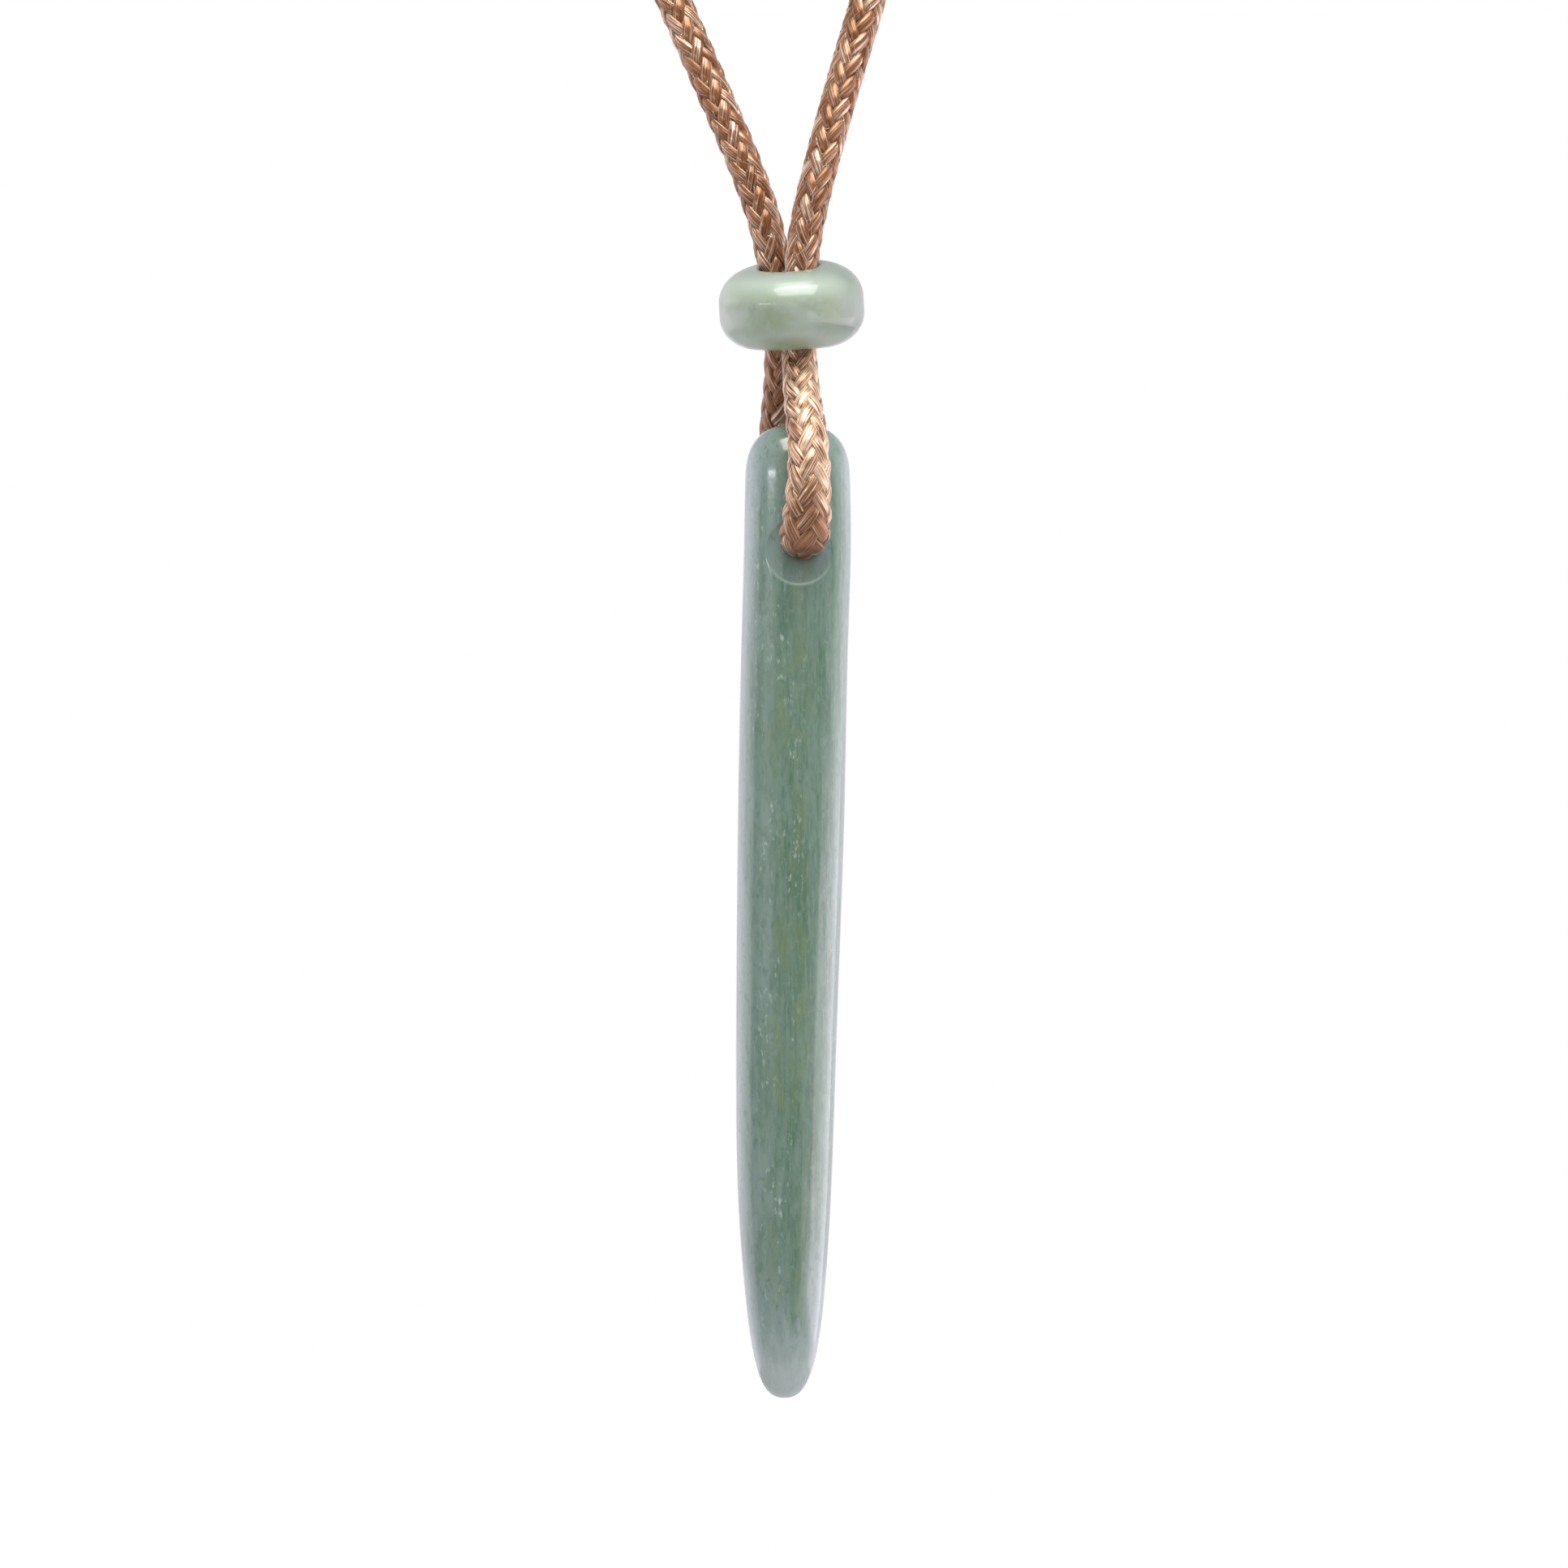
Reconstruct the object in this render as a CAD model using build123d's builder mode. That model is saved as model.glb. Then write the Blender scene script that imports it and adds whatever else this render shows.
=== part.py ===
from build123d import *
import math
import os

# Jade pendant on a braided neck cord, in millimetres, as it hangs when worn.
# The front faces -Y and +Z is up. The origin is the nape, in the middle of the closing knot.

# Cord
CORD_DIAMETER = 2.35
KNOT_DIAMETER = 6.4
KNOT_LENGTH = 12.0
KNOT_EDGE_RADIUS = 1.6

# Middle of the hole in the jade spike, which the spike and the bead are placed from
HOLE_X = 12.0
HOLE_Y = -125.0
HOLE_Z = -200.0

# Jade spike
SPIKE_ABOVE_HOLE = 7.9
SPIKE_BELOW_HOLE = 52.1
SPIKE_WIDTH = 6.6
SPIKE_THICKNESS = 5.4
SPIKE_DRIFT = 0.92  # how far the lower end lies to the left of the hole
SECTION_CORNER = 0.9  # where a section's corners lie, as a share of its half sizes
SECTION_ROUNDING = 0.6  # a section's corner radius, as a share of its smaller half size
SPIKE_HOLE_CLEARANCE = 0.75  # the hole is this much wider than the cord
RECESS_DIAMETER = 4.2
RECESS_DEPTH = 0.75

# Ring bead
BEAD_DIAMETER = 8.9
BEAD_HEIGHT = 5.1
BEAD_WAIST_HEIGHT = 0.9  # the straight band round the middle of its side
BEAD_HOLE_CLEARANCE = 0.5  # the hole is this much wider than two cords side by side
BEAD_LIP_RADIUS = 0.16
BEAD_ABOVE_HOLE = 15.1
BEAD_LEFT_OF_HOLE = 0.5
BEAD_ROLL = 3.5  # degrees, its right side up
BEAD_PITCH = 7.0  # degrees, its top face towards the front

# Sections of the spike above the hole: height over the hole as a share of SPIKE_ABOVE_HOLE,
# and width as a share of SPIKE_WIDTH
ABOVE_SECTIONS = [
    # height, width
    (1.0, 0.10),
    (0.985, 0.36),
    (0.94, 0.60),
    (0.86, 0.80),
    (0.74, 0.92),
    (0.55, 0.965),
    (0.15, 0.985),
]
# Sections below it: depth as a share of SPIKE_BELOW_HOLE, width, and drift as a share of SPIKE_DRIFT
BELOW_SECTIONS = [
    # depth, width, drift
    (0.10, 1.0, 0.30),
    (0.30, 0.998, 0.54),
    (0.51, 0.957, 0.80),
    (0.66, 0.918, 0.95),
    (0.78, 0.856, 1.0),
    (0.875, 0.745, 0.98),
    (0.93, 0.640, 0.97),
    (0.965, 0.520, 0.98),
    (0.986, 0.385, 1.0),
    (0.997, 0.220, 1.0),
    (1.0, 0.090, 1.0),
]

# The cord's way, point by point, from the knot round the left of the neck, down the left leg,
# through the bead, down behind the spike, forward through its hole, up in front of it,
# through the bead again and up the right leg to the knot
CORD_POINTS = [
    (-6.0, 0.0, 0.0),
    (-28.0, 0.0, 0.0),
    (-52.0, -16.0, -4.0),
    (-62.0, -45.0, -15.0),
    (-52.5, -72.0, -36.0),
    (-32.5, -93.0, -82.0),
    (-12.8, -110.5, -127.0),
    (-0.05, -119.2, -156.0),
    (6.25, -122.8, -170.5),
    (9.35, -124.2, -177.7),
    (10.5, -124.35, -182.0),
    (11.03, -123.48, -188.4),
    (10.5, -120.4, -193.6),
    (11.55, -120.6, -197.8),
    (11.85, -122.15, -199.8),
    (12.2, -127.85, -199.8),
    (12.5, -129.4, -197.8),
    (12.65, -129.65, -193.8),
    (11.92, -125.83, -188.9),
    (12.05, -126.36, -182.0),
    (12.9, -126.1, -177.7),
    (14.85, -124.4, -170.5),
    (19.2, -120.6, -156.0),
    (28.4, -111.7, -127.0),
    (42.0, -93.6, -82.0),
    (56.0, -72.0, -36.0),
    (62.0, -45.0, -15.0),
    (52.0, -16.0, -4.0),
    (28.0, 0.0, 0.0),
    (6.0, 0.0, 0.0),
]


def corner_radii(points):
    """Radius of the arc at each inner point: 0.45 of the shorter run over the tangent of half the turn."""
    radii = []
    for before, here, after in zip(points, points[1:], points[2:]):
        run_in = Vector(*here) - Vector(*before)
        run_out = Vector(*after) - Vector(*here)
        turn = math.radians(run_in.get_angle(run_out))
        radii.append(0.45 * min(run_in.length, run_out.length) / math.tan(turn / 2))
    return radii


def spike_section(height, width, drift):
    """A rounded cushion section of the spike: four bulged sides with rounded corners."""
    half_x = width / 2
    half_y = half_x * SPIKE_THICKNESS / SPIKE_WIDTH
    corner_x = half_x * SECTION_CORNER
    corner_y = half_y * SECTION_CORNER
    centre = (HOLE_X - drift, HOLE_Y, HOLE_Z + height)
    with BuildSketch(Plane(origin=centre)) as section:
        with BuildLine():
            ThreePointArc((-corner_x, -corner_y), (0, -half_y), (corner_x, -corner_y))
            ThreePointArc((corner_x, -corner_y), (half_x, 0), (corner_x, corner_y))
            ThreePointArc((corner_x, corner_y), (0, half_y), (-corner_x, corner_y))
            ThreePointArc((-corner_x, corner_y), (-half_x, 0), (-corner_x, -corner_y))
        make_face()
        fillet(section.vertices(), SECTION_ROUNDING * min(half_x, half_y))
    return section.sketch


os.makedirs("parts", exist_ok=True)

# Jade spike: a rounded bar lofted from its domed top to its blunt lower tip
spike_hole_radius = (CORD_DIAMETER + SPIKE_HOLE_CLEARANCE) / 2
spike_sections = [
    spike_section(height * SPIKE_ABOVE_HOLE, width * SPIKE_WIDTH, 0.12 * SPIKE_DRIFT)
    for height, width in ABOVE_SECTIONS
] + [
    spike_section(-depth * SPIKE_BELOW_HOLE, width * SPIKE_WIDTH, drift * SPIKE_DRIFT)
    for depth, width, drift in BELOW_SECTIONS
]
with BuildPart() as jade_spike:
    loft(sections=spike_sections)
    # the hole runs front to back, and widens to a dished recess at each face
    hole_line = Axis((HOLE_X, HOLE_Y, HOLE_Z), (0, 1, 0))
    with BuildSketch(Plane(origin=(HOLE_X, HOLE_Y, HOLE_Z))):
        with BuildLine():
            Polyline(
                (0, -SPIKE_THICKNESS),
                (RECESS_DIAMETER / 2, -SPIKE_THICKNESS),
                (RECESS_DIAMETER / 2, -SPIKE_THICKNESS / 2),
                (spike_hole_radius, -SPIKE_THICKNESS / 2 + RECESS_DEPTH),
                (spike_hole_radius, SPIKE_THICKNESS / 2 - RECESS_DEPTH),
                (RECESS_DIAMETER / 2, SPIKE_THICKNESS / 2),
                (RECESS_DIAMETER / 2, SPIKE_THICKNESS),
                (0, SPIKE_THICKNESS),
                close=True,
            )
        make_face()
    revolve(axis=hole_line, mode=Mode.SUBTRACT)
jade_spike.part.label = "jade_spike"
export_step(jade_spike.part, "parts/jade_spike.step")

# Ring bead: a fat rounded ring that both runs of cord pass through
bead_hole_radius = CORD_DIAMETER + BEAD_HOLE_CLEARANCE / 2
bead_crest_radius = bead_hole_radius + BEAD_LIP_RADIUS
bead_axis = Vector(-math.tan(math.radians(BEAD_ROLL)), -math.tan(math.radians(BEAD_PITCH)), 1)
bead_plane = Plane(
    origin=(HOLE_X - BEAD_LEFT_OF_HOLE, HOLE_Y, HOLE_Z + BEAD_ABOVE_HOLE),
    x_dir=(1, 0, math.tan(math.radians(BEAD_ROLL))),
    z_dir=bead_axis,
)
bead_section_plane = Plane(origin=bead_plane.origin, x_dir=bead_plane.x_dir, z_dir=-bead_plane.y_dir)
bead_half_height = BEAD_HEIGHT / 2
bead_corner_height = (BEAD_HEIGHT - BEAD_WAIST_HEIGHT) / 2
bead_corner_width = BEAD_DIAMETER / 2 - bead_crest_radius
with BuildPart() as ring_bead:
    with BuildSketch(bead_section_plane):
        with BuildLine():
            Line(
                (BEAD_DIAMETER / 2, -BEAD_WAIST_HEIGHT / 2),
                (BEAD_DIAMETER / 2, BEAD_WAIST_HEIGHT / 2),
            )
            EllipticalCenterArc(
                (bead_crest_radius, BEAD_WAIST_HEIGHT / 2),
                bead_corner_width,
                bead_corner_height,
                start_angle=0,
                arc_size=90,
            )
            CenterArc(
                (bead_crest_radius, bead_half_height - BEAD_LIP_RADIUS), BEAD_LIP_RADIUS, 90, 90
            )
            Line(
                (bead_hole_radius, bead_half_height - BEAD_LIP_RADIUS),
                (bead_hole_radius, BEAD_LIP_RADIUS - bead_half_height),
            )
            CenterArc(
                (bead_crest_radius, BEAD_LIP_RADIUS - bead_half_height), BEAD_LIP_RADIUS, 180, 90
            )
            EllipticalCenterArc(
                (bead_crest_radius, -BEAD_WAIST_HEIGHT / 2),
                bead_corner_width,
                bead_corner_height,
                start_angle=270,
                arc_size=90,
            )
        make_face()
    revolve(axis=Axis(bead_plane.origin, bead_plane.z_dir))
ring_bead.part.label = "ring_bead"
export_step(ring_bead.part, "parts/ring_bead.step")

# Neck cord: one round tube of straight runs joined by tangent arcs
cord_radii = corner_radii(CORD_POINTS)
with BuildPart() as neck_cord:
    with BuildLine() as cord_way:
        FilletPolyline(*CORD_POINTS, radius=cord_radii)
    with BuildSketch(Plane(origin=CORD_POINTS[0], z_dir=(-1, 0, 0))):
        Circle(CORD_DIAMETER / 2)
    sweep(path=cord_way.wires()[0])
neck_cord.part.label = "neck_cord"
export_step(neck_cord.part, "parts/neck_cord.step")

# Closing knot: a plain barrel at the nape that both ends of the cord run into
with BuildPart() as closing_knot:
    with BuildSketch(Plane.YZ.offset(-KNOT_LENGTH / 2)):
        Circle(KNOT_DIAMETER / 2)
    extrude(amount=KNOT_LENGTH)
    fillet(closing_knot.edges().filter_by(GeomType.CIRCLE), KNOT_EDGE_RADIUS)
closing_knot.part.label = "closing_knot"
export_step(closing_knot.part, "parts/closing_knot.step")

cord_length = cord_way.wires()[0].length
cord_section = math.pi * CORD_DIAMETER**2 / 4
print("cord radii:", ", ".join(f"{radius:.1f}" for radius in cord_radii))
print(f"cord length {cord_length:.1f}, volume {neck_cord.part.volume:.1f}")
print(f"section times length {cord_section * cord_length:.1f}")
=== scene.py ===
import math

import bpy
import numpy as np
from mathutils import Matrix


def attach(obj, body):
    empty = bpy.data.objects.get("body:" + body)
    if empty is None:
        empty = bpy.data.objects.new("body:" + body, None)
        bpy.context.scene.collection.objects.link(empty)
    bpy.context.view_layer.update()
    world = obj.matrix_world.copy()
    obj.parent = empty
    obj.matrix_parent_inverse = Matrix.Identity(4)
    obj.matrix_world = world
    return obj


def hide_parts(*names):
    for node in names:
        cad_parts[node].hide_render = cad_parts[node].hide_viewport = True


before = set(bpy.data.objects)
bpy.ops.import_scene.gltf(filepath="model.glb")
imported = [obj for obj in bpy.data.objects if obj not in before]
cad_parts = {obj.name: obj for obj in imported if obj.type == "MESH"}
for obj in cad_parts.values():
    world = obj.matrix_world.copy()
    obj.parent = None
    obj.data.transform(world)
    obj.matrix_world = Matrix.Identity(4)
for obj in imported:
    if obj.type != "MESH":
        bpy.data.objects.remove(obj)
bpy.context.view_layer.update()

# Jade pendant on a braided neck cord. Sizes in the dictionaries are in millimetres unless they say
# otherwise, and the meshes are in metres. The front faces -Y and the origin is the nape, in the middle
# of the closing knot.

mm = 0.001
holeCentre = (12.0, -125.0, -200.0)  # middle of the spike's hole, which the spike and bead are placed from

bpy.context.scene.view_settings.view_transform = "Standard"


def newObject(name, data):
    made = bpy.data.objects.new(name, data)
    bpy.context.scene.collection.objects.link(made)
    return made


# Camera

cameraSizes = {
    "lookAt": (11.05, -125.0, -214.3),  # middle of the picture
    "distance": 1000.0,
    "widthSeen": 96.6,  # across the picture, at the pendant
    "sensor": 36.0,
    "nearest": 20.0,  # only what lies between these two distances is drawn
    "farthest": 20000.0,
}


def makeCamera():
    x, y, z = cameraSizes["lookAt"]
    data = bpy.data.cameras.new("camera")
    data.sensor_width = cameraSizes["sensor"]
    data.lens = data.sensor_width * cameraSizes["distance"] / cameraSizes["widthSeen"]
    data.clip_start = cameraSizes["nearest"] * mm
    data.clip_end = cameraSizes["farthest"] * mm
    camera = newObject("camera", data)
    camera.location = (x * mm, (y - cameraSizes["distance"]) * mm, z * mm)
    camera.rotation_euler = (math.radians(90), 0, 0)
    bpy.context.scene.camera = camera


makeCamera()
print("camera made")

# Shared shapes


def smoothThrough(knots, values, at):
    # natural cubic through the points: the second derivatives solve the usual three-term rows
    knots, values, at = (np.asarray(x, float) for x in (knots, values, at))
    gaps = np.diff(knots)
    slopes = np.diff(values) / gaps
    rows = np.eye(len(knots))
    inner = np.arange(1, len(knots) - 1)
    rows[inner, inner - 1] = gaps[:-1]
    rows[inner, inner] = 2 * (gaps[:-1] + gaps[1:])
    rows[inner, inner + 1] = gaps[1:]
    right = np.zeros(len(knots))
    right[1:-1] = 6 * np.diff(slopes)
    bend = np.linalg.solve(rows, right)
    k = np.clip(np.searchsorted(knots, at) - 1, 0, len(gaps) - 1)
    a, b, gap = at - knots[k], knots[k + 1] - at, gaps[k]
    cubic = (bend[k] * b**3 + bend[k + 1] * a**3) / (6 * gap)
    straight = (values[k] / gap - bend[k] * gap / 6) * b
    straight += (values[k + 1] / gap - bend[k + 1] * gap / 6) * a
    return cubic + straight


def easeBetween(low, high, at):
    # 0 below low, 1 above high, with a smooth cubic between
    t = np.clip((at - low) / (high - low), 0, 1)
    return t * t * (3 - 2 * t)


def signedPower(values, power):
    # the size of each value to a power, with the value's own sign
    return np.sign(values) * np.abs(values) ** power


def meshFrom(name, points, quads, triangles=None, quadUv=None, triangleUv=None):
    # points in millimetres; faces as rows of corner numbers, with a uv pair for each corner
    if triangles is None:
        triangles = np.zeros((0, 3), int)
    corners = np.concatenate([quads.ravel(), triangles.ravel()])
    counts = np.repeat([4, 3], [len(quads), len(triangles)])
    starts = np.cumsum(counts) - counts
    mesh = bpy.data.meshes.new(name)
    mesh.vertices.add(len(points))
    mesh.vertices.foreach_set("co", (points * mm).astype(np.float32).ravel())
    mesh.loops.add(len(corners))
    mesh.loops.foreach_set("vertex_index", corners.astype(np.int32))
    mesh.polygons.add(len(counts))
    mesh.polygons.foreach_set("loop_start", starts.astype(np.int32))
    mesh.update(calc_edges=True)
    if quadUv is not None:
        uv = np.concatenate([quadUv.ravel(), triangleUv.ravel()])
        mesh.uv_layers.new(name="UVMap").data.foreach_set("uv", uv.astype(np.float32))
    mesh.shade_smooth()
    return mesh


def gridQuads(rows, columns, closeRows=False, closeColumns=False):
    # corner numbers of the quads between a grid's rows and columns, which may close on themselves
    i = np.arange(rows if closeRows else rows - 1)
    j = np.arange(columns if closeColumns else columns - 1)
    i, j = np.meshgrid(i, j, indexing="ij")
    nextI, nextJ = (i + 1) % rows, (j + 1) % columns
    quads = [i * columns + j, i * columns + nextJ, nextI * columns + nextJ, nextI * columns + j]
    return np.stack(quads, -1).reshape(-1, 4)


def gridUv(u, v):
    # uv pairs for gridQuads' corners, from the columns' u and the rows' v
    i, j = np.meshgrid(np.arange(len(v) - 1), np.arange(len(u) - 1), indexing="ij")
    pairs = [(j, i), (j + 1, i), (j + 1, i + 1), (j, i + 1)]
    return np.stack([np.stack([u[a], v[b]], -1) for a, b in pairs], 2)


def gridCaps(rows, columns):
    # a fan over each end of a grid whose rows close on themselves, to two more points after the grid's own
    ring = np.arange(columns)
    after = np.roll(ring, -1)
    last = (rows - 1) * columns
    start = np.stack([after, ring, np.full(columns, rows * columns)], -1)
    end = np.stack([np.full(columns, rows * columns + 1), ring + last, after + last], -1)
    return np.concatenate([start, end])


def turnedOut(points, quads, *rest):
    # faces, and what goes with their corners, reversed if the volume that the quads close is negative
    a, b, c, d = (points[quads[:, k]] - points.mean(0) for k in range(4))
    volume = (a * np.cross(b, c)).sum() + (a * np.cross(c, d)).sum()
    return [rows if volume > 0 else rows[:, ::-1] for rows in (quads, *rest)]


def barMesh(name, rings, ends):
    # a shape of rings of points, closed by a fan to one point at each end, placed from the spike's hole
    points = np.concatenate([rings.reshape(-1, 3), ends]) + np.array(holeCentre)
    quads = gridQuads(*rings.shape[:2], closeColumns=True)
    return meshFrom(name, points, *turnedOut(points, quads, gridCaps(*rings.shape[:2])))


def addPiece(mesh, body, replaces=()):
    piece = newObject(mesh.name, mesh)
    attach(piece, body)
    if replaces:
        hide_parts(*replaces)
    return piece


# Shader building


class Socket:
    # a node's output, so that sockets and numbers can be written as in ordinary maths
    def __init__(self, finish, output):
        self.finish, self.output = finish, output

    def maths(self, operation, a, b=0.0):
        return self.finish.node("ShaderNodeMath", {"operation": operation}, {0: a, 1: b})

    def __add__(self, other):
        return self.maths("ADD", self, other)

    def __sub__(self, other):
        return self.maths("SUBTRACT", self, other)

    def __rsub__(self, other):
        return self.maths("SUBTRACT", other, self)

    def __mul__(self, other):
        return self.maths("MULTIPLY", self, other)

    def __pow__(self, other):
        return self.maths("POWER", self, other)

    def __rpow__(self, other):
        return self.maths("POWER", other, self)

    def __abs__(self):
        return self.maths("ABSOLUTE", self)

    __radd__ = __add__
    __rmul__ = __mul__

    def between(self, low, high):
        # 0 at low, 1 at high, smooth between, and held outside
        settings = {"interpolation_type": "SMOOTHSTEP"}
        inputs = {"Value": self, "From Min": low, "From Max": high}
        return self.finish.node("ShaderNodeMapRange", settings, inputs)


class Finish:
    # the nodes of a new material, or of the world
    def __init__(self, owner):
        owner.use_nodes = True
        self.owner, self.tree = owner, owner.node_tree
        self.tree.nodes.clear()

    def node(self, kind, settings=None, inputs=None, output=0):
        # settings are set first, then the numbers and links of the sockets
        made = self.tree.nodes.new(kind)
        for name, value in (settings or {}).items():
            setattr(made, name, value)
        for name, value in (inputs or {}).items():
            if isinstance(value, Socket):
                self.tree.links.new(value.output, made.inputs[name])
            else:
                made.inputs[name].default_value = value
        return Socket(self, made.outputs[output]) if made.outputs else None

    def mixColour(self, factor, a, b):
        a, b = (x if isinstance(x, Socket) else (*x, 1.0) for x in (a, b))
        return self.node("ShaderNodeMix", {"data_type": "RGBA"}, {0: factor, 6: a, 7: b}, 2)

    def layered(self, base, colours, layers):
        # the base colour with others laid over it, each by its own factor
        linear = {name: fromScreen(*colour) for name, colour in colours.items()}
        made = linear[base]
        for factor, name in layers:
            made = self.mixColour(factor, made, linear[name])
        return made

    def place(self, scale, coordinates="Object", move=(0, 0, 0), turn=(0, 0, 0)):
        # coordinates times scale: in repeats per metre, or per millimetre for a cord's own uv
        source = self.node("ShaderNodeTexCoord", output=coordinates)
        inputs = {"Vector": source, "Scale": scale, "Location": move, "Rotation": turn}
        return self.node("ShaderNodeMapping", None, inputs)

    def part(self, axis, start):
        # how far along an axis a point is from a start, in millimetres
        source = self.node("ShaderNodeTexCoord", output="Object")
        return self.node("ShaderNodeSeparateXYZ", None, {0: source}, axis) * (1 / mm) - start

    def noise(self, at, detail, roughness, distortion=0.0):
        inputs = {"Vector": at, "Scale": 1.0, "Detail": detail}
        inputs |= {"Roughness": roughness, "Distortion": distortion}
        return self.node("ShaderNodeTexNoise", None, inputs, "Fac")

    def bump(self, height, distance, strength):
        inputs = {"Height": height, "Distance": distance, "Strength": strength}
        return self.node("ShaderNodeBump", None, inputs)

    def surface(self, **inputs):
        named = {name.replace("_", " "): value for name, value in inputs.items()}
        shader = self.node("ShaderNodeBsdfPrincipled", None, named)
        self.node("ShaderNodeOutputMaterial", None, {"Surface": shader})
        return self.owner


def fromScreen(*colour):
    # a colour as a picture has it, from 0 to 255, as the linear light that a shader wants
    share = np.array(colour) / 255
    return tuple(np.where(share > 0.04045, ((share + 0.055) / 1.055) ** 2.4, share / 12.92))


# Neck cord

cordSizes = {
    "diameter": 2.35,
    "length": 606.0,
    "pitch": 1.45,  # from one stitch of a column to the next
    "columns": 8,  # round the cord, leaning left and right by turns
    "stitchWidth": 0.9,
    "stitchHeight": 0.4,
    "stitchDip": 0.38,  # how far a stitch's ends go down under its neighbours
    "stitchReach": 0.94,  # from its middle to its tip, in pitches and in columns
    "stitchUneven": 0.05,  # share by which stitches differ in width
    "stitchWobble": 0.03,  # and how far they are out of place
    "columnsUnder": 0.08,  # the columns are measured this far under the braid's outside
    "fine": (8, 9),  # rings and sides of a stitch by the pendant
    "plain": (4, 5),  # and elsewhere
    "fineBefore": 42.0,  # the fine stitches start this far before the hole
    "fineStitches": 58,  # and go on for this many
    "intoKnot": (1.5, 0.5),  # how far the stitches go on past the cord's first and last end
    "coreUnder": 0.42,  # the plain core's surface is this far under the braid's outside
    "coreShade": 0.2,
    "resolution": 32,  # points that the smooth route gets for each of its own
    "sample": 0.1,  # between the points of the line that the stitches follow
    "sidewaysTurn": (-90.0, -20.0),  # y between which it goes from +X in the legs to +Z at the nape
}

# the route's points, from the knot round the left of the neck, down the left leg, through the bead,
# down behind the spike, forward through its hole, up in front of it, through the bead again and
# up the right leg to the knot
cordPoints = [
    (-6.0, 0.0, 0.0),
    (-28.0, 0.0, 0.0),
    (-52.0, -16.0, -4.0),
    (-62.0, -45.0, -15.0),
    (-52.5, -72.0, -36.0),
    (-32.5, -93.0, -82.0),
    (-12.8, -110.5, -127.0),
    (-0.05, -119.2, -156.0),
    (6.25, -122.8, -170.5),
    (9.35, -124.2, -177.7),
    (10.5, -124.35, -182.0),
    (11.03, -123.48, -188.4),
    (10.5, -120.4, -193.6),
    (11.55, -120.6, -197.8),
    (11.85, -122.15, -199.8),
    (12.2, -127.85, -199.8),
    (12.5, -129.4, -197.8),
    (12.65, -129.65, -193.8),
    (11.92, -125.83, -188.9),
    (12.05, -126.36, -182.0),
    (12.9, -126.1, -177.7),
    (14.85, -124.4, -170.5),
    (19.2, -120.6, -156.0),
    (28.4, -111.7, -127.0),
    (42.0, -93.6, -82.0),
    (56.0, -72.0, -36.0),
    (62.0, -45.0, -15.0),
    (52.0, -16.0, -4.0),
    (28.0, 0.0, 0.0),
    (6.0, 0.0, 0.0),
]

# along the line from the middle of the hole, the cord's width and depth as shares of its diameter, and
# the turn of its columns in degrees
cordShape = [
    (-320.0, 1.0, 1.0, 0.0),
    (-60.0, 0.97, 0.97, 0.0),
    (-22.0, 0.93, 0.95, 0.0),
    (-12.0, 0.98, 0.98, 0.0),
    (-6.0, 1.1, 0.98, 0.0),
    (-3.2, 1.05, 0.94, 0.0),
    (-1.6, 0.88, 0.88, 0.0),
    (1.4, 0.92, 0.82, 0.0),
    (2.8, 1.28, 0.87, 0.0),
    (4.6, 1.33, 0.96, 0.0),
    (8.0, 1.16, 1.0, 0.0),
    (12.0, 1.05, 1.0, 0.0),
    (16.5, 0.95, 0.97, 28.0),
    (24.0, 0.94, 0.95, 33.0),
    (60.0, 0.97, 0.97, 33.0),
    (320.0, 1.0, 1.0, 33.0),
]


def splinePoints(points):
    # the points of a smooth curve that has the given points as its control points
    data = bpy.data.curves.new("route", "CURVE")
    data.dimensions = "3D"
    data.resolution_u = cordSizes["resolution"]
    spline = data.splines.new("NURBS")
    spline.points.add(len(points) - 1)
    rows = np.column_stack([np.array(points) * mm, np.ones(len(points))])
    spline.points.foreach_set("co", rows.ravel())
    spline.order_u = 3
    spline.use_endpoint_u = True
    holder = newObject("route", data)
    mesh = bpy.data.meshes.new_from_object(holder)
    found = np.zeros(len(mesh.vertices) * 3)
    mesh.vertices.foreach_get("co", found)
    bpy.data.objects.remove(holder)
    bpy.data.meshes.remove(mesh)
    bpy.data.curves.remove(data)
    return found.reshape(-1, 3) / mm


def unit(vectors):
    return vectors / np.linalg.norm(vectors, axis=-1, keepdims=True)


def readAt(along, values, at):
    # each column of values, read at the given lengths along the line
    return np.stack([np.interp(at, along, column) for column in values.T], -1)


def lineFrom(points, sideways):
    # a line's points at even lengths, with two directions across it: one nearest to sideways(place),
    # made square to the line, and the other square to both
    steps = np.linalg.norm(np.diff(points, axis=0), axis=1)
    along = np.concatenate([[0], np.cumsum(steps)])
    even = np.linspace(0, along[-1], int(along[-1] / cordSizes["sample"]) + 2)
    place = readAt(along, points, even)
    ahead = unit(np.gradient(place, even, axis=0))
    want = sideways(place)
    across = unit(want - (want * ahead).sum(1, keepdims=True) * ahead)
    return {
        "along": even,
        "place": place,
        "across": across,
        "outward": np.cross(ahead, across),
        "wide": np.ones(len(even)),
        "deep": np.ones(len(even)),
        "turn": np.zeros(len(even)),
    }


def fromLine(line, along, turn, radius):
    # the point at that length along the line, turned round it by that angle, at that distance from it
    angle = turn + np.interp(along, line["along"], line["turn"])
    wide = radius * np.cos(angle) * np.interp(along, line["along"], line["wide"])
    deep = radius * np.sin(angle) * np.interp(along, line["along"], line["deep"])
    place, across, outward = (
        readAt(line["along"], line[name], along.ravel()).reshape(*along.shape, 3)
        for name in ("place", "across", "outward")
    )
    return place + wide[..., None] * across + deep[..., None] * outward


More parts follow.
